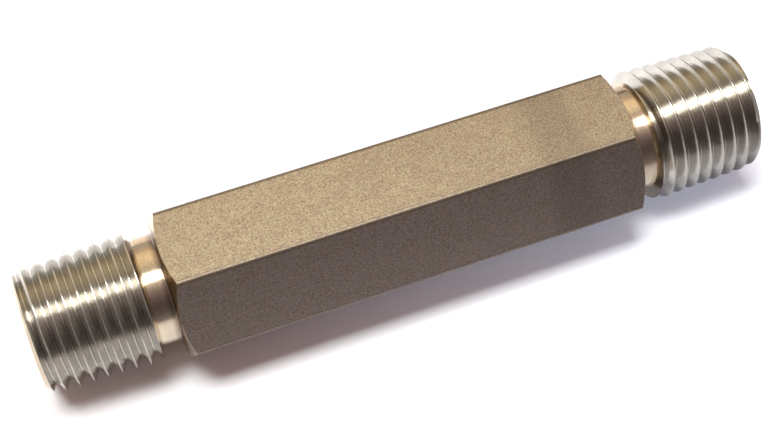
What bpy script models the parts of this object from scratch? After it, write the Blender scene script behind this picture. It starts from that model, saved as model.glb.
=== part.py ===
"""Long hex nipple for taper pipe thread, male at both ends.

The fitting is one piece of stainless steel. A hexagonal bar is turned down at each end, a right-hand
taper pipe thread is cut there, and one hole is drilled through the whole length. The script follows
the same order: it makes the bar, makes a threaded end for each side, joins the three and drills them.

Turned shapes are built as they stand in a lathe, with their axis along Z. The finished fitting lies on
one of its flats with its axis along X and its centre at the origin. Lengths are in metres.
"""

import math

import bmesh
import bpy
from mathutils import Matrix, Vector

MM = 0.001
INCH = 25.4 * MM

# --- Whole fitting ---------------------------------------------------------------------------------
OVERALL_LENGTH = 3.00 * INCH
BORE_DIAMETER = 0.28 * INCH
BORE_CHAMFER = 0.40 * MM                # At 45 degrees, where the bore meets an end face.

# --- Hexagonal bar ---------------------------------------------------------------------------------
ACROSS_FLATS = 9 / 16 * INCH
SIDES = 6
EDGE_RADIUS = 0.45 * MM                 # The long edges of drawn bar are rounded.
EDGE_SEGMENTS = 4
SHOULDER_CHAMFER = math.radians(30)     # Slope of the corner chamfer from the shoulder's plane.
SHOULDER_LAND = 0.15 * MM               # The chamfer starts this far inside the flats.

# --- Threaded ends ---------------------------------------------------------------------------------
END_LENGTH = 0.545 * INCH               # From a shoulder to its end face.
PITCH = INCH / 18
TAPER = 1 / 16                          # On diameter.
TIP_PITCH_DIAMETER = 0.47739 * INCH     # Pitch diameter in the plane of the end face.
FLANK_ANGLE = math.radians(30)          # From a plane square to the axis.
THREAD_HEIGHT = 0.74 * PITCH            # From root to crest, both with a small flat.
TIP_DIAMETER = 11.7 * MM                # End face, inside the lead chamfer.
TIP_CHAMFER = math.radians(45)
START_ANGLE_A = math.radians(-35)       # Where the thread starts round the end at -X.
START_ANGLE_B = math.radians(40)        # Where it starts round the end at +X.

# --- Neck between shoulder and thread --------------------------------------------------------------
NECK_LENGTH = 2.05 * MM
NECK_DIAMETER = 11.0 * MM
NECK_SLOPE = math.radians(75)           # From the axis, where the neck climbs to the thread.

# --- Model detail ----------------------------------------------------------------------------------
FACETS = 36                             # Facets in one turn of every round surface.
CLEARANCE = 1.0 * MM                    # How far tools and joined stubs reach past a surface.
WELD_DISTANCE = 0.0005 * MM
SMOOTH_ANGLE = math.radians(30)

HEX_LENGTH = OVERALL_LENGTH - 2 * END_LENGTH
HALF_SIDE_ANGLE = math.pi / SIDES
QUARTER_TURN = math.pi / 2

OBJECT_NAME = "hex_nipple"
BODY_NAME = "nipple_body"


def clear_scene():
    """Remove every object that a new file holds."""
    for old_object in list(bpy.data.objects):
        bpy.data.objects.remove(old_object, do_unlink=True)


def new_collection(name):
    """Add a collection to the scene and return it."""
    collection = bpy.data.collections.new(name)
    bpy.context.scene.collection.children.link(collection)
    return collection


def steel():
    """Return the material of the bar: bare stainless steel."""
    material = bpy.data.materials.new("stainless_steel")
    material.use_nodes = True
    shader = material.node_tree.nodes["Principled BSDF"]
    shader.inputs["Base Color"].default_value = (0.52, 0.48, 0.42, 1.0)
    shader.inputs["Metallic"].default_value = 1.0
    shader.inputs["Roughness"].default_value = 0.38
    return material


def mark_as_tool(obj):
    """Show a cutting or joining shape as wire, and keep it out of renders."""
    obj.display_type = 'WIRE'
    obj.hide_render = True
    return obj


def mesh_from_bmesh(name, bm):
    """Return a mesh that holds the bmesh, and free the bmesh."""
    mesh = bpy.data.meshes.new(name)
    bm.to_mesh(mesh)
    bm.free()
    return mesh


def turned_object(name, outline, collection, pitch=0.0, turns=1):
    """Turn an open outline of (radius, height) points about Z and return the object.

    The outline runs down the outer side. With a pitch, it climbs by that much in each turn.
    """
    mesh = bpy.data.meshes.new(name)
    points = [(radius, 0.0, height) for radius, height in outline]
    edges = [(start, start + 1) for start in range(len(points) - 1)]
    mesh.from_pydata(points, edges, [])
    obj = bpy.data.objects.new(name, mesh)
    collection.objects.link(obj)
    screw = obj.modifiers.new("Turning", 'SCREW')
    screw.axis = 'Z'
    screw.steps = FACETS
    screw.render_steps = FACETS
    screw.screw_offset = pitch
    screw.iterations = turns
    screw.use_merge_vertices = pitch == 0.0
    screw.merge_threshold = WELD_DISTANCE
    return mark_as_tool(obj)


def evaluated_mesh(obj):
    """Return a new mesh that holds the object as its modifiers leave it."""
    depsgraph = bpy.context.evaluated_depsgraph_get()
    return bpy.data.meshes.new_from_object(obj.evaluated_get(depsgraph))


def add_boolean(obj, operation, tool):
    """Cut the object with a tool, or join the tool to it."""
    boolean = obj.modifiers.new(tool.name, 'BOOLEAN')
    boolean.operation = operation
    boolean.solver = 'EXACT'
    boolean.object = tool


def hex_bar(collection):
    """Return hexagonal stock along X, on a flat, with its six long edges rounded.

    It is cut to length when its ends are faced, so it starts a little too long.
    """
    bm = bmesh.new()
    corner_radius = ACROSS_FLATS / 2 / math.cos(HALF_SIDE_ANGLE)
    bmesh.ops.create_cone(
        bm, cap_ends=True, segments=SIDES, radius1=corner_radius, radius2=corner_radius,
        depth=HEX_LENGTH + 2 * CLEARANCE, matrix=Matrix.Rotation(QUARTER_TURN, 4, 'Y'))
    long_edges = [edge for edge in bm.edges
                  if abs(edge.verts[0].co.x - edge.verts[1].co.x) > HEX_LENGTH / 2]
    bmesh.ops.bevel(
        bm, geom=long_edges, affect='EDGES', offset_type='OFFSET', segments=EDGE_SEGMENTS,
        profile=0.5, offset=EDGE_RADIUS * math.tan(HALF_SIDE_ANGLE))
    obj = bpy.data.objects.new(BODY_NAME, mesh_from_bmesh(BODY_NAME, bm))
    collection.objects.link(obj)
    return obj


def shoulder_barrel(collection):
    """Return the turned envelope along X that faces and chamfers both ends of the bar."""
    foot_radius = ACROSS_FLATS / 2 - SHOULDER_LAND
    outer_radius = ACROSS_FLATS
    end = HEX_LENGTH / 2
    chamfer_end = end - (outer_radius - foot_radius) * math.tan(SHOULDER_CHAMFER)
    outline = [(0.0, end), (foot_radius, end), (outer_radius, chamfer_end),
               (outer_radius, -chamfer_end), (foot_radius, -end), (0.0, -end)]
    barrel = turned_object("shoulder_barrel", outline, collection)
    barrel.rotation_euler = (0.0, QUARTER_TURN, 0.0)
    return barrel


def end_blank(name, collection):
    """Return a turned blank for one end: lead chamfer, room for the thread, neck and stub.

    Height 0 is the shoulder's plane. The stub below it is buried in the hexagonal bar.
    """
    outer_radius = TIP_PITCH_DIAMETER / 2 + END_LENGTH * TAPER / 2 + THREAD_HEIGHT
    tip_radius = TIP_DIAMETER / 2
    neck_radius = NECK_DIAMETER / 2
    chamfer_end = END_LENGTH - (outer_radius - tip_radius) / math.tan(TIP_CHAMFER)
    slope_end = NECK_LENGTH + (outer_radius - neck_radius) / math.tan(NECK_SLOPE)
    outline = [(0.0, END_LENGTH), (tip_radius, END_LENGTH), (outer_radius, chamfer_end),
               (outer_radius, slope_end), (neck_radius, NECK_LENGTH),
               (neck_radius, -CLEARANCE), (0.0, -CLEARANCE)]
    return turned_object(name, outline, collection)


def thread_outline(crest_height):
    """Return one pitch of thread: a root flat, a flank, a crest flat and a flank."""
    root_radius = TIP_PITCH_DIAMETER / 2 - THREAD_HEIGHT / 2
    crest_radius = root_radius + THREAD_HEIGHT
    flank_width = THREAD_HEIGHT * math.tan(FLANK_ANGLE)
    flat_width = PITCH / 2 - flank_width
    flank_foot = flat_width / 2 + flank_width
    return [(root_radius, crest_height + PITCH - flank_foot),
            (root_radius, crest_height + flank_foot),
            (crest_radius, crest_height + flat_width / 2),
            (crest_radius, crest_height - flat_width / 2),
            (root_radius, crest_height - flank_foot)]


def close_helix(bm):
    """Close both open ends of a helical surface with a fan to a point on the axis."""
    middle = sum(vertex.co.z for vertex in bm.verts) / len(bm.verts)
    rim = [edge for edge in bm.edges if edge.is_boundary]
    for side in (-1, 1):
        loop = [edge for edge in rim if (edge.verts[0].co.z - middle) * side > 0]
        apex = max(abs(vertex.co.z - middle) for edge in loop for vertex in edge.verts) + PITCH
        fan = bmesh.ops.extrude_edge_only(bm, edges=loop)["geom"]
        fan_vertices = [item for item in fan if isinstance(item, bmesh.types.BMVert)]
        bmesh.ops.pointmerge(bm, verts=fan_vertices, merge_co=Vector((0, 0, middle + side * apex)))


def tapered_screw(name, collection):
    """Return a closed tapered screw, longer than the threaded end at both sides.

    A crest crosses the plane of the end face in the direction of +X.
    """
    turns_below = math.ceil((END_LENGTH + CLEARANCE) / PITCH) + 1
    outline = thread_outline(END_LENGTH - turns_below * PITCH)
    screw = turned_object(name, outline, collection, PITCH, turns_below + 2)
    bm = bmesh.new()
    bm.from_mesh(evaluated_mesh(screw))
    bmesh.ops.remove_doubles(bm, verts=bm.verts, dist=WELD_DISTANCE)
    for vertex in bm.verts:
        radius = math.hypot(vertex.co.x, vertex.co.y)
        growth = (END_LENGTH - vertex.co.z) * TAPER / 2
        vertex.co.x *= (radius + growth) / radius
        vertex.co.y *= (radius + growth) / radius
    close_helix(bm)
    bmesh.ops.recalc_face_normals(bm, faces=bm.faces)
    screw.modifiers.clear()
    screw.data = mesh_from_bmesh(name, bm)
    return screw


def threaded_end(name, side, start_angle, collection):
    """Return one threaded end, standing along X out of the shoulder on the given side."""
    screw = tapered_screw(name, collection)
    blank = end_blank(name + "_blank", collection)
    place = (Matrix.Translation((side * HEX_LENGTH / 2, 0, 0))
             @ Matrix.Rotation(side * QUARTER_TURN, 4, 'Y')
             @ Matrix.Rotation(start_angle, 4, 'Z'))
    screw.matrix_world = place
    blank.matrix_world = place
    add_boolean(screw, 'INTERSECT', blank)
    return screw


def bore_drill(collection):
    """Return the drill along X for the through bore, with a countersink at each mouth."""
    bore_radius = BORE_DIAMETER / 2
    half_length = OVERALL_LENGTH / 2 + CLEARANCE
    mouth_radius = bore_radius + BORE_CHAMFER + CLEARANCE
    chamfer_end = OVERALL_LENGTH / 2 - BORE_CHAMFER
    outline = [(0.0, half_length), (mouth_radius, half_length), (bore_radius, chamfer_end),
               (bore_radius, -chamfer_end), (mouth_radius, -half_length), (0.0, -half_length)]
    drill = turned_object("bore_drill", outline, collection)
    drill.rotation_euler = (0.0, QUARTER_TURN, 0.0)
    return drill


def apply_modifiers(obj):
    """Replace the object's mesh with its finished shape, smooth except at real edges."""
    bpy.context.view_layer.update()
    finished = evaluated_mesh(obj)
    finished.shade_smooth()
    finished.set_sharp_from_angle(angle=SMOOTH_ANGLE)
    obj.modifiers.clear()
    obj.data = finished


def build_nipple():
    """Build the fitting and return its one solid."""
    parts = new_collection(OBJECT_NAME)
    tools = new_collection(OBJECT_NAME + "_tools")
    body = hex_bar(parts)
    body.data.materials.append(steel())
    add_boolean(body, 'INTERSECT', shoulder_barrel(tools))
    add_boolean(body, 'UNION', threaded_end("threaded_end_a", -1, START_ANGLE_A, tools))
    add_boolean(body, 'UNION', threaded_end("threaded_end_b", 1, START_ANGLE_B, tools))
    add_boolean(body, 'DIFFERENCE', bore_drill(tools))
    apply_modifiers(body)
    return body


clear_scene()
build_nipple()
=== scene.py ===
# %% [markdown]
# # A long hex nipple
#
# A nipple is the plainest of pipe fittings: a short pipe with a male thread at each end. This one is
# turned from hexagonal bar, so that a spanner can hold its middle. The metal is all one piece, but it
# shows several finishes. The flats keep the dull skin of the drawn bar, the necks and threads are bright
# where a lathe tool has cut them, and the bore is darker where a drill has been through.
#
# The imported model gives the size. Here the same fitting is made again with fine threads, rounded edges
# and real metal, and it stands for the plain model.

# %% Load the frame
import math

import bmesh
import bpy
from mathutils import Matrix, Vector


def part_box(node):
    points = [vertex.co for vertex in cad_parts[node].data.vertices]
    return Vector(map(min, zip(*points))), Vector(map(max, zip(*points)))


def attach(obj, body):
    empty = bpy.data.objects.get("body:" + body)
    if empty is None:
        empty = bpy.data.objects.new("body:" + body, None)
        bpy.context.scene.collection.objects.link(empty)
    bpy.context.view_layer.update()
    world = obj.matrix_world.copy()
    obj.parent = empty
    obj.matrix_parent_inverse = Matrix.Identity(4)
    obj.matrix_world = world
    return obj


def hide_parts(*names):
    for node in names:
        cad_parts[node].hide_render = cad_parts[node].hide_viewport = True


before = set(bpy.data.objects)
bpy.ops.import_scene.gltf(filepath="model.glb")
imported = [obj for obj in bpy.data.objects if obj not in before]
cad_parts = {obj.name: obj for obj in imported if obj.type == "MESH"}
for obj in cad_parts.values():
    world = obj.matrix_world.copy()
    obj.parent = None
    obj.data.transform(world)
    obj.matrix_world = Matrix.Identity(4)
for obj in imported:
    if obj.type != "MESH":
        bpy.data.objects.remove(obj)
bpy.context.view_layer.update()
lowest, highest = (Vector(corner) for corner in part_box("nipple_body"))
overall_length = highest.x - lowest.x
across_flats = highest.z - lowest.z
print(f"the model is {overall_length * 1000:.2f} mm long and {across_flats * 1000:.3f} mm across its flats")

# %% [markdown]
# ## The sizes that the lathe works to
#
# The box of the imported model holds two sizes. The others are the drawing's: the length of a threaded
# end, the neck behind the thread, and a taper pipe thread of eighteen turns to the inch.

# %% Sizes
MM = 0.001
INCH = 25.4 * MM
END_LENGTH = 0.545 * INCH
PITCH = INCH / 18
TIP_PITCH_RADIUS = 0.47739 * INCH / 2
TAPER = 1 / 32
THREAD_HEIGHT = 0.74 * PITCH
NECK_LENGTH = 2.05 * MM
NECK_RADIUS = 5.5 * MM
TIP_RADIUS = 5.85 * MM
BORE_RADIUS = 0.28 * INCH / 2
BORE_CHAMFER = 0.40 * MM
LONG_EDGE_RADIUS = 0.51 * MM
SHOULDER_LAND = 0.15 * MM
REACH = 1.0 * MM
QUARTER_TURN = math.pi / 2
HALF_TURN = math.pi
FULL_TURN = 2 * math.pi

half_length = overall_length / 2
shoulder = half_length - END_LENGTH
neck_end = shoulder + NECK_LENGTH
half_flats = across_flats / 2
print(f"the hexagon is {2 * shoulder / MM:.2f} mm long between its shoulders")

# %% [markdown]
# ## The camera
#
# The view is from above and in front, close enough for the near end to look larger than the far one.
# The camera is aimed at a target on the fitting's axis, which is easier to change than three angles.

# %% Camera
CAMERA_PLACE = Vector((-28.892, -74.474, 132.826)) * MM
CAMERA_TARGET = Vector((-1.051, 0.282, 0.0)) * MM
LENS = 71.2
NEAREST_SEEN = 10 * MM

camera_data = bpy.data.cameras.new("camera")
camera_data.lens = LENS
camera_data.clip_start = NEAREST_SEEN
camera = bpy.data.objects.new("camera", camera_data)
bpy.context.scene.collection.objects.link(camera)
camera.location = CAMERA_PLACE
camera.rotation_euler = (CAMERA_TARGET - CAMERA_PLACE).to_track_quat('-Z', 'Y').to_euler()
bpy.context.scene.camera = camera
print(f"the camera stands {CAMERA_PLACE.length / MM:.0f} mm from the middle of the fitting")

# %% [markdown]
# ## The table
#
# The fitting lies with one flat on a white table. A plane is enough for it, but it has to be wide, because
# bright metal mirrors the table right out to its far edge.

# %% Table
TABLE_SIZE = 3.0
TABLE_WHITE = (0.88, 0.88, 0.90, 1.0)
TABLE_ROUGHNESS = 0.8


def deselect_all():
    """Leave nothing selected, so that the next operator acts on its own piece only."""
    bpy.ops.object.select_all(action='DESELECT')


def new_material(name):
    """Return a material that uses nodes, with its node tree and its main shader."""
    material = bpy.data.materials.new(name)
    material.use_nodes = True
    tree = material.node_tree
    return material, tree, tree.nodes["Principled BSDF"]


deselect_all()
bpy.ops.mesh.primitive_plane_add(size=TABLE_SIZE, location=(0.0, 0.0, -half_flats))
table = bpy.context.object
table.name = "table"
white, white_tree, white_shader = new_material("table_white")
white_shader.inputs["Base Color"].default_value = TABLE_WHITE
white_shader.inputs["Roughness"].default_value = TABLE_ROUGHNESS
table.data.materials.append(white)
print(f"the table lies {half_flats / MM:.2f} mm below the axis")

# %% [markdown]
# ## The light
#
# Polished metal shows what stands round it more than it shows its own colour, so the light is half the
# work. Three lamps share it, and each has one job. A wide lamp almost overhead lights the table. It hangs
# to the left, so the soft shadow falls in front and to the right, and the metal doesn't mirror it. A
# narrow strip hangs close over the fitting, and is there only to be mirrored: it draws the bright line
# along every turned surface. It is so close that each end sees it from another side, and the line is
# bolder on the left. A small cool spot lamp tints the table beside the right-hand end.

# %% Lamps over the fitting


def hang_lamp(name, azimuth, distance, slide, size, power, colour):
    """Hang a rectangular lamp over the X axis, and aim it at the fitting.

    The azimuth turns about X: 0 is level in front, 90 straight overhead and 180 level behind. The slide
    moves the lamp along X.
    """
    data = bpy.data.lights.new(name, 'AREA')
    data.shape = 'RECTANGLE'
    data.size, data.size_y = size
    data.energy = power
    data.color = colour
    lamp = bpy.data.objects.new(name, data)
    bpy.context.scene.collection.objects.link(lamp)
    angle = math.radians(azimuth)
    lamp.location = (slide, -distance * math.cos(angle), distance * math.sin(angle))
    lamp.rotation_euler = (QUARTER_TURN - angle, 0.0, 0.0)
    print(f"{name} hangs {distance:.2f} m from the axis and gives {power} W")
    return lamp


table_lamp = hang_lamp("table_lamp", azimuth=93, distance=1.2, slide=-0.20, size=(0.60, 0.32),
                       power=16.8, colour=(0.96, 1.0, 1.0))
table_lamp.visible_glossy = False
strip_lamp = hang_lamp("strip_lamp", azimuth=88, distance=0.19, slide=-0.03, size=(0.29, 0.058),
                       power=0.43, colour=(1.0, 0.97, 0.91))
strip_lamp.visible_diffuse = False

# %% Cool spot lamp
COOL_LAMP_PLACE = Vector((250, -200, 110)) * MM
COOL_LAMP_POWER = 4.2
COOL_LAMP_COLOUR = (0.62, 0.78, 1.0)
COOL_BEAM = math.radians(12)
COOL_LAMP_RADIUS = 20 * MM
PATCH_FROM_CORNER = Vector((8, -10, 0)) * MM

near_corner = Vector((half_length, -half_flats, -half_flats))
cool_data = bpy.data.lights.new("cool_lamp", 'SPOT')
cool_data.energy = COOL_LAMP_POWER
cool_data.color = COOL_LAMP_COLOUR
cool_data.spot_size = COOL_BEAM
cool_data.spot_blend = 1.0
cool_data.shadow_soft_size = COOL_LAMP_RADIUS
cool_lamp = bpy.data.objects.new("cool_lamp", cool_data)
bpy.context.scene.collection.objects.link(cool_lamp)
cool_lamp.location = COOL_LAMP_PLACE
beam = near_corner + PATCH_FROM_CORNER - COOL_LAMP_PLACE
cool_lamp.rotation_euler = beam.to_track_quat('-Z', 'Y').to_euler()
cool_lamp.visible_glossy = False
print(f"the cool beam meets the table {beam.length / MM:.0f} mm from its lamp")

# %% [markdown]
# ## Nodes in plain words
#
# A material or a background is a tree of small nodes, and the same few sums come back in all of them. So
# each sum gets a helper with a plain name, and a tree then reads from top to bottom like a recipe.

# %% Sums in a node tree


def add_node(tree, kind, **settings):
    """Add a shader node and set its plain properties."""
    node = tree.nodes.new(kind)
    for name, value in settings.items():
        setattr(node, name, value)
    return node


def feed(tree, socket, value):
    """Give a socket a plain value, or link the output of another node to it."""
    if isinstance(value, bpy.types.NodeSocket):
        tree.links.new(value, socket)
    else:
        socket.default_value = value


def calculate(tree, operation, first, second=0.0):
    """Return the result of one sum on one or two numbers."""
    node = add_node(tree, "ShaderNodeMath", operation=operation)
    feed(tree, node.inputs[0], first)
    feed(tree, node.inputs[1], second)
    return node.outputs["Value"]


def spread(tree, value, from_low, from_high, low=0.0, high=1.0):
    """Return the value moved from one range to another, and held inside it."""
    node = add_node(tree, "ShaderNodeMapRange")
    feed(tree, node.inputs["Value"], value)
    limits = (("From Min", from_low), ("From Max", from_high), ("To Min", low), ("To Max", high))
    for name, number in limits:
        node.inputs[name].default_value = number
    return node.outputs["Result"]


def blend_colours(tree, share, first, second):
    """Return a colour between two."""
    node = add_node(tree, "ShaderNodeMix", data_type='RGBA')
    feed(tree, node.inputs["Factor"], share)
    feed(tree, node.inputs["A"], first)
    feed(tree, node.inputs["B"], second)
    return node.outputs["Result"]

# %% [markdown]
# ## The room
#
# The room is a background that depends on the direction only, so it needs no walls. Its azimuth turns
# about the fitting's axis, as the lamps' does, and each band of the room becomes a band along the turned
# surfaces: dim in front, brighter overhead, and amber high up behind. Directions that lean to one side
# leave the bands for a plain glow, brighter on the left than on the right, which draws the thin line on
# each crest of the thread. Those that run almost along the axis meet a darker wall.
#
# Only mirrored rays see all this. The camera sees a plain white backdrop, and the table's soft shadow
# takes its tint from a fill of its own. The Standard view shows every colour as it is given here.

# %% Room
ROOM_BANDS = [
    (0, (0.20, 0.18, 0.17)), (12, (0.13, 0.11, 0.11)), (28, (0.10, 0.08, 0.085)),
    (44, (0.16, 0.12, 0.12)), (60, (0.32, 0.24, 0.24)), (76, (0.75, 0.60, 0.52)),
    (98, (0.50, 0.41, 0.34)), (108, (0.70, 0.57, 0.44)), (124, (1.15, 0.93, 0.66)),
    (140, (1.25, 1.0, 0.66)), (156, (0.76, 0.57, 0.40)), (163, (0.62, 0.53, 0.42)),
    (170, (0.70, 0.66, 0.60)), (180, (0.76, 0.74, 0.70))]

world = bpy.data.worlds.new("room")
bpy.context.scene.world = world
world.use_nodes = True
room = world.node_tree
direction = add_node(room, "ShaderNodeSeparateXYZ")
room.links.new(add_node(room, "ShaderNodeTexCoord").outputs["Generated"], direction.inputs["Vector"])
backward = direction.outputs["Y"]
azimuth = calculate(room, 'ARCTAN2', direction.outputs["Z"], calculate(room, 'MULTIPLY', backward, -1.0))
bands = add_node(room, "ShaderNodeValToRGB")
room.links.new(spread(room, azimuth, 0.0, HALF_TURN), bands.inputs["Fac"])
stops = bands.color_ramp.elements
while len(stops) < len(ROOM_BANDS):
    stops.new(1.0)
for stop, (degrees, colour) in zip(stops, ROOM_BANDS):
    stop.position = degrees / 180
    stop.color = (*colour, 1.0)
print(f"the room has {len(stops)} bands")

# %% Ends of the room
LEFT_GLOW = (0.92, 0.90, 0.86, 1.0)
RIGHT_GLOW = (0.50, 0.46, 0.42, 1.0)
LEFT_DARK = (0.30, 0.27, 0.25, 1.0)
RIGHT_DARK = (0.14, 0.12, 0.11, 1.0)
SIDE_CHANGE = 0.1
GLOW_LEAN = (0.60, 0.75)
DARK_LEAN = (0.88, 0.95)
SHADOW_FILL = (0.36, 0.235, 0.21, 1.0)
BACKDROP = (1.0, 1.0, 1.0, 1.0)

lean = calculate(room, 'ABSOLUTE', direction.outputs["X"])
rightward = spread(room, direction.outputs["X"], -SIDE_CHANGE, SIDE_CHANGE)
end_glow = blend_colours(room, rightward, LEFT_GLOW, RIGHT_GLOW)
end_dark = blend_colours(room, rightward, LEFT_DARK, RIGHT_DARK)
glowing = blend_colours(room, spread(room, lean, *GLOW_LEAN), bands.outputs["Color"], end_glow)
mirrored = blend_colours(room, spread(room, lean, *DARK_LEAN), glowing, end_dark)
ray = add_node(room, "ShaderNodeLightPath")
lit = blend_colours(room, ray.outputs["Is Glossy Ray"], SHADOW_FILL, mirrored)
shown = blend_colours(room, ray.outputs["Is Camera Ray"], lit, BACKDROP)
room.links.new(shown, room.nodes["Background"].inputs["Color"])
bpy.context.scene.view_settings.view_transform = 'Standard'
print(f"the bands end {math.degrees(math.acos(GLOW_LEAN[1])):.0f} degrees from the axis")

# %% [markdown]
# ## The table as the metal sees it
#
# The lower half of the fitting mirrors the table. An evenly white table would make it look like plastic:
# steel needs dark beside bright. So for mirrored rays the table is a white pool round the fitting, with
# painted shade that darkens it to the front and to the right, and a painted glare that glows behind. For
# the camera it stays plain white, and it glows more with the distance, so that no edge shows against the
# backdrop. Both come from the place on the table, so they hold from every side.

# %% Mirrored table
POOL_EDGE = 30 * MM
POOL_END = 82 * MM
RIGHT_EDGE = 12 * MM
RIGHT_END = 54 * MM
# Painted shade: the table colour that mirrored rays see far in front and to the right.
MIRRORED_PAINTED_SHADE = (0.16, 0.14, 0.14, 1.0)
GLARE = 0.60
GLARE_DEPTH = 15 * MM
GLARE_FADE = 45 * MM
GLARE_END = 80 * MM

table_ray = add_node(white_tree, "ShaderNodeLightPath")
on_table = add_node(white_tree, "ShaderNodeTexCoord").outputs["Object"]
place = add_node(white_tree, "ShaderNodeSeparateXYZ")
white_tree.links.new(on_table, place.inputs["Vector"])
far_front = spread(white_tree, place.outputs["Y"], -POOL_EDGE, -POOL_END)
far_right = spread(white_tree, place.outputs["X"], RIGHT_EDGE, RIGHT_END)
far_off = calculate(white_tree, 'MAXIMUM', far_front, far_right)
mirrored_far = calculate(white_tree, 'MULTIPLY', far_off, table_ray.outputs["Is Glossy Ray"])
# Painted shade on the table, for mirrored rays only.
dimmed = blend_colours(white_tree, mirrored_far, TABLE_WHITE, MIRRORED_PAINTED_SHADE)
white_tree.links.new(dimmed, white_shader.inputs["Base Color"])
# Painted glare: the table glows behind the fitting, for mirrored rays only.
behind = spread(white_tree, place.outputs["Y"], 0.0, GLARE_DEPTH, 0.0, GLARE)
not_right = spread(white_tree, place.outputs["X"], GLARE_FADE, GLARE_END, 1.0, 0.0)
glaring = calculate(white_tree, 'MULTIPLY', behind, not_right)
glare = calculate(white_tree, 'MULTIPLY', glaring, table_ray.outputs["Is Glossy Ray"])
print(f"the mirrored pool of white is {POOL_END / MM:.0f} mm deep in front")

# %% Far edge of the table
FAR_START = 0.15
FAR_FULL = 0.7
GLOW_WHITE = (1.0, 1.0, 1.0, 1.0)

distance = add_node(white_tree, "ShaderNodeVectorMath", operation='LENGTH')
white_tree.links.new(on_table, distance.inputs[0])
far_away = spread(white_tree, distance.outputs["Value"], FAR_START, FAR_FULL)
far_glow = calculate(white_tree, 'MULTIPLY', far_away, table_ray.outputs["Is Camera Ray"])
glow = calculate(white_tree, 'ADD', glare, far_glow)
white_shader.inputs["Emission Color"].default_value = GLOW_WHITE
white_tree.links.new(glow, white_shader.inputs["Emission Strength"])
print(f"the table glows in full from {FAR_FULL:.1f} m on")

# %% [markdown]
# ## Drawing an outline
#
# Everything round on this fitting is a turned shape, and a turned shape starts as an outline. It is drawn
# as by hand: a small plane is merged to a single point, and the point is extruded from place to place.
# The outlines stand in the upright plane through the axis, with x along the axis and z as the radius.

# %% Round the corners of an outline
ARC_STEPS = 4


def rounded_corner(before, corner, after, radius, steps):
    """Return the points of an arc that rounds one corner of an outline."""
    arm_in = (before - corner).normalized()
    arm_out = (after - corner).normalized()
    half_angle = arm_in.angle(arm_out) / 2
    middle = (arm_in + arm_out).normalized()
    centre = corner + middle * radius / math.sin(half_angle)
    first = corner + arm_in * radius / math.tan(half_angle) - centre
    last = corner + arm_out * radius / math.tan(half_angle) - centre
    turn = first.angle(last)
    arc = []
    for step in range(steps + 1):
        share = step / steps
        spoke = (first * math.sin((1 - share) * turn) + last * math.sin(share * turn)) / math.sin(turn)
        arc.append(centre + spoke)
    return arc


def outline_points(corners, steps=ARC_STEPS):
    """Return outline points from (x, radius, rounding) corners, with arcs where rounding isn't 0."""
    places = [Vector((x, radius)) for x, radius, rounding in corners]
    points = [places[0]]
    for index in range(1, len(corners) - 1):
        rounding = corners[index][2]
        if rounding == 0:
            points.append(places[index])
        else:
            points += rounded_corner(places[index - 1], places[index], places[index + 1], rounding, steps)
    points.append(places[-1])
    return points

# %% Draw an outline


def draw_outline(name, points):
    """Draw an open outline through (x, radius) points and return its object."""
    deselect_all()
    first = points[0]
    bpy.ops.mesh.primitive_plane_add(size=MM, location=(0.0, 0.0, 0.0))
    piece = bpy.context.object
    piece.name = name
    bpy.ops.object.mode_set(mode='EDIT')
    bpy.ops.mesh.select_mode(type='VERT')
    bpy.ops.mesh.select_all(action='SELECT')
    bpy.ops.mesh.merge(type='CENTER')
    bpy.ops.transform.translate(value=(first.x, 0.0, first.y))
    for start, end in zip(points, points[1:]):
        step = (end.x - start.x, 0.0, end.y - start.y)
        bpy.ops.mesh.extrude_region_move(TRANSFORM_OT_translate={"value": step})
    bpy.ops.object.mode_set(mode='OBJECT')
    return piece

# %% Close a piece
SAME_PLACE = 0.0005 * MM


def close_up(piece):
    """Merge doubled points, turn every face outwards and say whether the piece is closed."""
    deselect_all()
    piece.select_set(True)
    bpy.context.view_layer.objects.active = piece
    bpy.ops.object.mode_set(mode='EDIT')
    bpy.ops.mesh.select_all(action='SELECT')
    bpy.ops.mesh.remove_doubles(threshold=SAME_PLACE)
    bpy.ops.mesh.normals_make_consistent(inside=False)
    bpy.ops.object.mode_set(mode='OBJECT')
    check = bmesh.new()
    check.from_mesh(piece.data)
    open_edges = sum(1 for edge in check.edges if not edge.is_manifold)
    volume = check.calc_volume(signed=True) / MM ** 3
    check.free()
    print(f"{piece.name}: {len(piece.data.polygons)} faces, {open_edges} open edges, {volume:.1f} mm3")

# %% [markdown]
# ## Turning and combining
#
# Spin turns an outline into a solid, as a lathe does. Boolean modifiers then do what the workshop does
# with two shapes: keep what both share, cut one with the other, or join them. The exact solver is the one
# that copes with faces that nearly touch, and it lets each surface keep its own material.

# %% Turn an outline
ROUND_STEPS = 192


def turn_outline(piece):
    """Turn an outline once about the X axis, as a lathe does, and close it."""
    deselect_all()
    piece.select_set(True)
    bpy.context.view_layer.objects.active = piece
    bpy.ops.object.mode_set(mode='EDIT')
    bpy.ops.mesh.select_all(action='SELECT')
    bpy.ops.mesh.spin(steps=ROUND_STEPS, angle=FULL_TURN, center=(0.0, 0.0, 0.0), axis=(1.0, 0.0, 0.0))
    bpy.ops.object.mode_set(mode='OBJECT')
    close_up(piece)
    return piece

# %% Combine two pieces


def apply_all(piece):
    """Apply the modifiers of a piece in their order."""
    deselect_all()
    piece.select_set(True)
    bpy.context.view_layer.objects.active = piece
    for modifier in list(piece.modifiers):
        bpy.ops.object.modifier_apply(modifier=modifier.name)


def combine(piece, tool, operation):
    """Join the tool to the piece or cut the piece with it, and throw the tool away."""
    boolean = piece.modifiers.new(tool.name, 'BOOLEAN')
    boolean.operation = operation
    boolean.solver = 'EXACT'
    boolean.material_mode = 'TRANSFER'
    boolean.object = tool
    apply_all(piece)
    bpy.data.objects.remove(tool, do_unlink=True)

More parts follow.
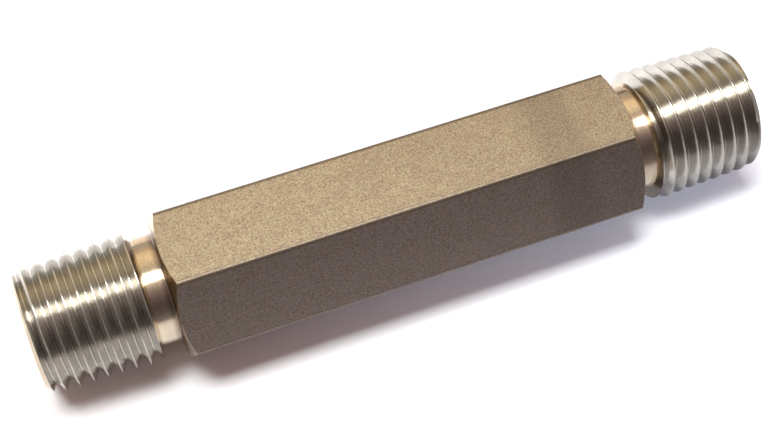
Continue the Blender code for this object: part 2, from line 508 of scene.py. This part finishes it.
# %% [markdown]
# ## The finishes
#
# One metal, four surfaces. The drawn skin of the bar is dull and grainy with faint lines along its
# length. Turned faces are bright, with fine rings left by the tool. The thread is cut by a pointed tool
# and has finer rings. The drilled bore is darker and rougher. Each finish is one material, and each
# material is given to the piece that will leave its surface on the fitting.

# %% Patterns in a node tree


def object_place(tree, stretch=(1.0, 1.0, 1.0)):
    """Return the place on the piece, in metres, stretched by three factors."""
    place = add_node(tree, "ShaderNodeTexCoord")
    mapping = add_node(tree, "ShaderNodeMapping")
    mapping.inputs["Scale"].default_value = stretch
    tree.links.new(place.outputs["Object"], mapping.inputs["Vector"])
    return mapping.outputs["Vector"]


def split_place(tree):
    """Return the place on the piece as x along the axis, y to the back and z upwards."""
    split = add_node(tree, "ShaderNodeSeparateXYZ")
    tree.links.new(object_place(tree), split.inputs["Vector"])
    return split.outputs["X"], split.outputs["Y"], split.outputs["Z"]


def distance_from_axis(tree, y, z):
    """Return how far a place on the piece is from its axis."""
    across = add_node(tree, "ShaderNodeCombineXYZ")
    tree.links.new(y, across.inputs["Y"])
    tree.links.new(z, across.inputs["Z"])
    radius = add_node(tree, "ShaderNodeVectorMath", operation='LENGTH')
    tree.links.new(across.outputs["Vector"], radius.inputs["Vector"])
    return radius.outputs["Value"]


def noise(tree, place, scale, detail=3.0, roughness=0.55):
    """Return a noise pattern whose spots are about 1 / scale metres apart."""
    node = add_node(tree, "ShaderNodeTexNoise")
    node.inputs["Scale"].default_value = scale
    node.inputs["Detail"].default_value = detail
    node.inputs["Roughness"].default_value = roughness
    tree.links.new(place, node.inputs["Vector"])
    return node.outputs["Fac"]


def roughen(tree, shader, height, distance):
    """Raise a pattern as fine relief of the given height in metres."""
    node = add_node(tree, "ShaderNodeBump")
    node.inputs["Strength"].default_value = 1.0
    node.inputs["Distance"].default_value = distance
    tree.links.new(height, node.inputs["Height"])
    tree.links.new(node.outputs["Normal"], shader.inputs["Normal"])

# %% [markdown]
# ## The drawn skin
#
# The flats are as the die left them, and nothing has cleaned them since. The upper flat has a lighter
# tan as painted light, and the painted light fades towards the right. Brown clouds lie over it, with a
# smudge where something has rubbed across. Finer than that come reddish tints and dark specks, and the
# six long ridges are darker with painted shade. Each of these is one blend on top of the last, from
# coarse to fine, and all of them follow the piece's own coordinates, so nothing slides when it moves.

# %% Tone of the flats
# Painted light and shade: the upper flat gets the lit tone and the other flats the shaded one. The stain
# tone serves the brown clouds and the painted light's fade to the right.
SKIN_PAINTED_LIGHT = (0.52, 0.46, 0.335, 1.0)
SKIN_SIDES_SHADED = (0.32, 0.28, 0.26, 1.0)
SKIN_STAIN_AND_LIGHT_FADE = (0.29, 0.25, 0.20, 1.0)
UPPER_FLAT_START = 6.7 * MM
UPPER_FLAT_FULL = 7.1 * MM
LIGHT_FADE_START = -22 * MM
LIGHT_FADE_FULL = 24 * MM
RUB_TONE = (0.10, 0.09, 0.07, 1.0)
RUB_MIDDLE = 16.5 * MM
RUB_CORE = 1.6 * MM
RUB_EDGE = 3.4 * MM
RUB_WANDER = 1.2 * MM


def tone_of_flats(tree, x, z, clouds):
    """Return the coarse tone: lighter on top as painted light that fades to the right, clouded, and rubbed
    in one place.
    """
    # Painted light: the upper flat is lighter and warmer than the others.
    painted_light_on_top = spread(tree, z, UPPER_FLAT_START, UPPER_FLAT_FULL)
    tone = blend_colours(tree, painted_light_on_top, SKIN_SIDES_SHADED, SKIN_PAINTED_LIGHT)
    clouded = blend_colours(tree, spread(tree, clouds, 0.25, 0.75, 0.0, 0.25), tone, SKIN_STAIN_AND_LIGHT_FADE)
    # The painted light on the upper flat fades towards the right.
    light_fade_to_right = calculate(tree, 'MULTIPLY', spread(tree, x, LIGHT_FADE_START, LIGHT_FADE_FULL, 0.0, 0.32), painted_light_on_top)
    light_faded = blend_colours(tree, light_fade_to_right, clouded, SKIN_STAIN_AND_LIGHT_FADE)
    from_rub = calculate(tree, 'ABSOLUTE', calculate(tree, 'SUBTRACT', x, RUB_MIDDLE))
    wandering = calculate(tree, 'ADD', from_rub, spread(tree, clouds, 0.2, 0.8, -RUB_WANDER, RUB_WANDER))
    return blend_colours(tree, spread(tree, wandering, RUB_CORE, RUB_EDGE, 0.28, 0.0), light_faded, RUB_TONE)

# %% Drawn skin of the bar
SKIN_TINT = (0.34, 0.235, 0.20, 1.0)
# Colour of the dark specks, and of the painted shade along the ridges.
SPECK_AND_RIDGE_SHADE = (0.12, 0.10, 0.08, 1.0)
GRAIN_SCALE = 5200.0
TINT_SCALE = 1900.0
LINE_SCALE = 1800.0
CLOUD_SCALE = 110.0
ALONG_THE_BAR = (0.02, 1.0, 1.0)
RIDGE_RADIUS = 8.12 * MM
RIDGE_WIDTH = 0.06 * MM
SKIN_RELIEF = 0.014 * MM
SKIN_ROUGHNESS = (0.38, 0.56)


def drawn_skin():
    """Return the finish of the flats: dull, grainy and faintly lined along the bar."""
    material, tree, shader = new_material("drawn_skin")
    place = object_place(tree)
    x, y, z = split_place(tree)
    grain = noise(tree, place, GRAIN_SCALE, roughness=0.8)
    clouds = noise(tree, place, CLOUD_SCALE, detail=4.0)
    lines = noise(tree, object_place(tree, ALONG_THE_BAR), LINE_SCALE, detail=2.0)
    tone = tone_of_flats(tree, x, z, clouds)
    tints = spread(tree, noise(tree, place, TINT_SCALE, detail=2.0), 0.40, 0.62, 0.0, 0.40)
    tinted = blend_colours(tree, tints, tone, SKIN_TINT)
    speckled = blend_colours(tree, spread(tree, grain, 0.40, 0.68, 0.0, 0.85), tinted, SPECK_AND_RIDGE_SHADE)
    radius = distance_from_axis(tree, y, z)
    # Painted shade along the six rounded ridges.
    painted_ridge_shade = spread(tree, radius, RIDGE_RADIUS - RIDGE_WIDTH, RIDGE_RADIUS, 0.0, 0.55)
    tree.links.new(blend_colours(tree, painted_ridge_shade, speckled, SPECK_AND_RIDGE_SHADE), shader.inputs["Base Color"])
    shader.inputs["Metallic"].default_value = 1.0
    tree.links.new(spread(tree, grain, 0.0, 1.0, *SKIN_ROUGHNESS), shader.inputs["Roughness"])
    relief = calculate(tree, 'ADD', calculate(tree, 'MULTIPLY', grain, 0.8), lines)
    roughen(tree, shader, relief, SKIN_RELIEF)
    return material

# %% [markdown]
# ## The turned faces
#
# A tool leaves the same fine rings on a cylinder as across an end face. One noise pattern gives both, if
# it is read along the axis and the radius together. Turned steel isn't clean either: it has small pits.
# Each neck also has a painted brown reflection on its back, and painted shade in the corner by its
# shoulder. Both go by the distance from the middle of the fitting, so they are the same at both ends.

# %% Marks of the tool, and painted shade and reflection on the necks
RING_SLANT = 1.7
# Painted shade in the corner where a neck meets its shoulder.
CORNER_PAINTED_SHADE = (0.16, 0.11, 0.09, 1.0)
CORNER_SHADE_FULL = 0.15 * MM
CORNER_SHADE_END = 0.75 * MM
# Painted reflection: a brown tone on the back of each neck.
NECK_PAINTED_REFLECTION = (0.38, 0.26, 0.13, 1.0)
REFLECTION_START = 1.8 * MM
REFLECTION_FULL = 2.8 * MM


def tool_rings(tree, x, radius, scale):
    """Return a pattern of fine rings about the axis, along cylinders and across end faces alike."""
    along = calculate(tree, 'ADD', x, calculate(tree, 'MULTIPLY', radius, RING_SLANT))
    ring = add_node(tree, "ShaderNodeCombineXYZ")
    tree.links.new(along, ring.inputs["X"])
    return noise(tree, ring.outputs["Vector"], scale)


def paint_neck_shade_and_reflection(tree, x, y, steel):
    """Return the steel's colour, with a brown painted reflection on each neck's back and painted shade in
    each corner.
    """
    from_middle = calculate(tree, 'ABSOLUTE', x)
    outside = spread(tree, from_middle, shoulder - 0.10 * MM, shoulder - 0.02 * MM)
    neck_only = spread(tree, from_middle, neck_end - 0.15 * MM, neck_end + 0.05 * MM, 1.0, 0.0)
    on_neck = calculate(tree, 'MULTIPLY', neck_only, outside)
    # Painted reflection: brown on the back of each neck.
    painted_reflection = calculate(tree, 'MULTIPLY', on_neck, spread(tree, y, REFLECTION_START, REFLECTION_FULL, 0.0, 0.8))
    # Painted shade: darker in the corner where a neck meets its shoulder.
    corner = spread(tree, from_middle, shoulder + CORNER_SHADE_FULL, shoulder + CORNER_SHADE_END, 0.8, 0.0)
    painted_corner_shade = calculate(tree, 'MULTIPLY', corner, outside)
    return blend_colours(tree, painted_corner_shade, blend_colours(tree, painted_reflection, steel, NECK_PAINTED_REFLECTION), CORNER_PAINTED_SHADE)

# %% Turned steel
STEEL_CLOUD_SCALE = 400.0
PIT_SCALE = 5200.0
PIT_TONE = (0.30, 0.26, 0.23, 1.0)
CLOUD_DARKNESS = 0.82


def turned_steel(name, colour, roughness, ring_scale, ring_height):
    """Return the finish that a cutting tool leaves: bright metal with fine rings."""
    material, tree, shader = new_material(name)
    place = object_place(tree)
    x, y, z = split_place(tree)
    rings = tool_rings(tree, x, distance_from_axis(tree, y, z), ring_scale)
    clouds = noise(tree, place, STEEL_CLOUD_SCALE)
    darker = tuple(CLOUD_DARKNESS * channel for channel in colour)
    steel = blend_colours(tree, spread(tree, clouds, 0.3, 0.7), (*colour, 1.0), (*darker, 1.0))
    pits = noise(tree, place, PIT_SCALE, detail=2.0, roughness=0.7)
    pitted = blend_colours(tree, spread(tree, pits, 0.45, 0.68, 0.0, 0.30), steel, PIT_TONE)
    tree.links.new(paint_neck_shade_and_reflection(tree, x, y, pitted), shader.inputs["Base Color"])
    shader.inputs["Metallic"].default_value = 1.0
    tree.links.new(spread(tree, rings, 0.3, 0.7, roughness * 0.7, roughness * 1.3),
                   shader.inputs["Roughness"])
    roughen(tree, shader, rings, ring_height)
    return material


bar_finish = drawn_skin()
turned_finish = turned_steel("turned_steel", colour=(0.74, 0.64, 0.49), roughness=0.16,
                             ring_scale=9000.0, ring_height=0.004 * MM)
thread_finish = turned_steel("cut_thread", colour=(0.58, 0.565, 0.52), roughness=0.17,
                             ring_scale=12000.0, ring_height=0.004 * MM)
bore_finish = turned_steel("drilled_bore", colour=(0.45, 0.41, 0.36), roughness=0.35,
                           ring_scale=4000.0, ring_height=0.015 * MM)
for finish in (bar_finish, turned_finish, thread_finish, bore_finish):
    print(f"{finish.name} is a tree of {len(finish.node_tree.nodes)} nodes")

# %% [markdown]
# ## The bar
#
# Hexagonal bar is drawn through a die, so its long edges are rounded and its length has no other shape. A
# six-sided cylinder is the bar itself: only the long edges need a bevel. The bar lies with a flat down.

# %% Hexagonal bar
SIDES = 6
EDGE_STEPS = 8

corner_radius = half_flats / math.cos(HALF_TURN / SIDES)
deselect_all()
bpy.ops.mesh.primitive_cylinder_add(
    vertices=SIDES, radius=corner_radius, depth=2 * half_length, rotation=(0.0, QUARTER_TURN, 0.0))
nipple = bpy.context.object
nipple.name = "nipple"
bpy.ops.object.transform_apply(rotation=True)
for edge in nipple.data.edges:
    ends = [nipple.data.vertices[index].co for index in edge.vertices]
    edge.select = abs(ends[0].x - ends[1].x) > shoulder
bpy.ops.object.mode_set(mode='EDIT')
bpy.ops.mesh.select_mode(type='EDGE')
bpy.ops.mesh.bevel(offset=LONG_EDGE_RADIUS * math.tan(HALF_TURN / SIDES), segments=EDGE_STEPS, profile=0.5)
bpy.ops.object.mode_set(mode='OBJECT')
nipple.data.materials.append(bar_finish)
close_up(nipple)

# %% [markdown]
# ## The shoulders and necks
#
# In the lathe the bar's ends are turned down to two necks, and the corners of the hexagon are chamfered
# at 30 degrees. The tool can't know that the bar has flats: it leaves a round envelope, and the hexagon
# is what the bar and that envelope share. So the envelope is turned as one solid, and an intersection
# keeps what both have. It makes the curved line where each flat meets the chamfer by itself.

# %% Turned envelope
CHAMFER_SLOPE = math.tan(math.radians(30))
NECK_FILLET = 0.25 * MM
RIM_ROUNDING = 0.08 * MM

foot_radius = half_flats - SHOULDER_LAND
widest = 2 * half_flats
chamfer_end = shoulder - (widest - foot_radius) * CHAMFER_SLOPE
stub_end = neck_end + REACH
right_side = [(stub_end, 0.0, 0), (stub_end, NECK_RADIUS, 0), (shoulder, NECK_RADIUS, NECK_FILLET),
              (shoulder, foot_radius, RIM_ROUNDING), (chamfer_end, widest, 0)]
left_side = [(-x, radius, rounding) for x, radius, rounding in reversed(right_side)]
envelope = draw_outline("turned_envelope", outline_points(right_side + left_side))
turn_outline(envelope)
envelope.data.materials.append(turned_finish)
combine(nipple, envelope, 'INTERSECT')
close_up(nipple)

# %% [markdown]
# ## The thread
#
# A taper pipe thread is a V with small flats at its crest and root, wound as a helix on a slim cone. One
# pitch of it is drawn as an outline, and a Screw modifier winds it. The corners of the outline are rounded
# a little, and that rounding draws the thin bright line along each crest.
#
# Simple Deform could taper the winding, but it would deepen the thread with the radius. A real thread
# keeps its depth, so each point is moved outwards by its own distance from the end face.

# %% Wind the thread
THREAD_STEPS = 144
THREAD_ARC_STEPS = 3
FLANK_SLOPE = math.tan(math.radians(30))
CREST_ROUNDING = 0.06 * MM
ROOT_ROUNDING = 0.04 * MM
TURNS = math.ceil((END_LENGTH + REACH) / PITCH) + 3


def thread_corners(crest_x):
    """Return one pitch of thread as outline corners: root, flank, crest, flank, root."""
    root = TIP_PITCH_RADIUS - THREAD_HEIGHT / 2
    crest = root + THREAD_HEIGHT
    flank = THREAD_HEIGHT * FLANK_SLOPE
    half_flat = (PITCH / 2 - flank) / 2
    foot = half_flat + flank
    return [(crest_x - PITCH / 2, root, 0), (crest_x - foot, root, ROOT_ROUNDING),
            (crest_x - half_flat, crest, CREST_ROUNDING), (crest_x + half_flat, crest, CREST_ROUNDING),
            (crest_x + foot, root, ROOT_ROUNDING), (crest_x + PITCH / 2, root, 0)]


def wind_thread(name):
    """Return a tapered winding for the +X end, longer than the end and still open where it stops."""
    first_crest = half_length - (TURNS - 2) * PITCH
    thread = draw_outline(name, outline_points(thread_corners(first_crest), THREAD_ARC_STEPS))
    screw = thread.modifiers.new("winding", 'SCREW')
    screw.axis = 'X'
    screw.steps = THREAD_STEPS
    screw.render_steps = THREAD_STEPS
    screw.screw_offset = PITCH
    screw.iterations = TURNS
    apply_all(thread)
    close_up(thread)
    for vertex in thread.data.vertices:
        radius = math.hypot(vertex.co.y, vertex.co.z)
        growth = 1 + (half_length - vertex.co.x) * TAPER / radius
        vertex.co.y *= growth
        vertex.co.z *= growth
    return thread


def cap_thread(thread):
    """Close both open ends of the winding with a fan that ends in a point on the axis."""
    centre = sum(vertex.co.x for vertex in thread.data.vertices) / len(thread.data.vertices)
    for side in (-1, 1):
        deselect_all()
        thread.select_set(True)
        bpy.context.view_layer.objects.active = thread
        bpy.ops.object.mode_set(mode='EDIT')
        bpy.ops.mesh.select_mode(type='VERT')
        bpy.ops.mesh.select_all(action='DESELECT')
        work = bmesh.from_edit_mesh(thread.data)
        for edge in work.edges:
            if edge.is_boundary and (edge.verts[0].co.x - centre) * side > 0:
                edge.select_set(True)
        tip = max(vertex.co.x * side for vertex in work.verts if vertex.select) + PITCH
        bmesh.update_edit_mesh(thread.data)
        bpy.context.scene.cursor.location = (side * tip, 0.0, 0.0)
        bpy.ops.mesh.extrude_region_move()
        bpy.ops.mesh.merge(type='CURSOR')
        bpy.ops.object.mode_set(mode='OBJECT')
    close_up(thread)


thread = wind_thread("thread")
cap_thread(thread)
thread.data.materials.append(thread_finish)

# %% [markdown]
# ## The threaded end
#
# The winding is longer than the end, so a turned blank cuts it to shape. The blank has the flat end face,
# the lead chamfer that helps the thread to start, and the steep slope where the tool runs out into the
# neck. The slope dives below the neck, so that the two surfaces cross cleanly when they are joined.

# %% Shape one end
SLOPE = math.tan(math.radians(75))
BURIED_RADIUS = 4.4 * MM

outer_radius = TIP_PITCH_RADIUS + END_LENGTH * TAPER + THREAD_HEIGHT
slope_top = neck_end + (outer_radius - NECK_RADIUS) / SLOPE
slope_foot = neck_end + (BURIED_RADIUS - NECK_RADIUS) / SLOPE
blank_corners = [(half_length, 0.0, 0), (half_length, TIP_RADIUS, RIM_ROUNDING),
                 (half_length - (outer_radius - TIP_RADIUS), outer_radius, 0),
                 (slope_top, outer_radius, 0), (slope_foot, BURIED_RADIUS, 0), (slope_foot, 0.0, 0)]
blank = turn_outline(draw_outline("end_blank", outline_points(blank_corners)))
blank.data.materials.append(turned_finish)
combine(thread, blank, 'INTERSECT')
close_up(thread)

# %% [markdown]
# ## Both ends, and the bore
#
# The second end is a copy with its own mesh, turned half a turn about the upright axis. Turning keeps the
# thread right-handed, where a mirror would make it left-handed. Each end is first turned about X, because
# a thread starts wherever the tool happened to meet the bar. Then the ends are joined to the hexagon, and
# one drill goes through all of it.

# %% Join the ends
START_TURNS = {1: math.radians(220), -1: math.radians(-35)}


def turn_about(piece, axis, angle):
    """Turn a piece's mesh about an axis through the origin."""
    piece.data.transform(Matrix.Rotation(angle, 4, axis))


far_end = thread.copy()
far_end.data = thread.data.copy()
far_end.name = "far_end"
bpy.context.scene.collection.objects.link(far_end)
turn_about(thread, 'X', START_TURNS[1])
turn_about(far_end, 'X', START_TURNS[-1])
turn_about(far_end, 'Z', HALF_TURN)
combine(nipple, thread, 'UNION')
combine(nipple, far_end, 'UNION')
close_up(nipple)

# %% Drill the bore
mouth = BORE_RADIUS + BORE_CHAMFER + REACH
drill_right = [(half_length + REACH, 0.0, 0), (half_length + REACH, mouth, 0),
               (half_length - BORE_CHAMFER, BORE_RADIUS, 0)]
drill_left = [(-x, radius, rounding) for x, radius, rounding in reversed(drill_right)]
drill = turn_outline(draw_outline("drill", outline_points(drill_right + drill_left)))
drill.data.materials.append(bore_finish)
combine(nipple, drill, 'DIFFERENCE')
close_up(nipple)

# %% [markdown]
# ## Smooth shading
#
# Round surfaces are shaded smooth, but a real edge has to stay an edge. An angle decides: anything
# flatter than 25 degrees is one surface. Weighted normals then keep large flats truly flat beside their
# small fillets. Last, the piece is made to move with the one body, and the plain model is hidden, so that
# this one stands for it.

SMOOTH_ANGLE = math.radians(25)

deselect_all()
nipple.select_set(True)
bpy.context.view_layer.objects.active = nipple
bpy.ops.object.shade_smooth_by_angle(angle=SMOOTH_ANGLE)
weights = nipple.modifiers.new("weights", 'WEIGHTED_NORMAL')
weights.keep_sharp = True
apply_all(nipple)
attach(nipple, "root")
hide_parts("nipple_body")
triangles = sum(len(polygon.vertices) - 2 for polygon in nipple.data.polygons)
print(f"the nipple has {triangles} triangles and {len(nipple.data.materials)} finishes")
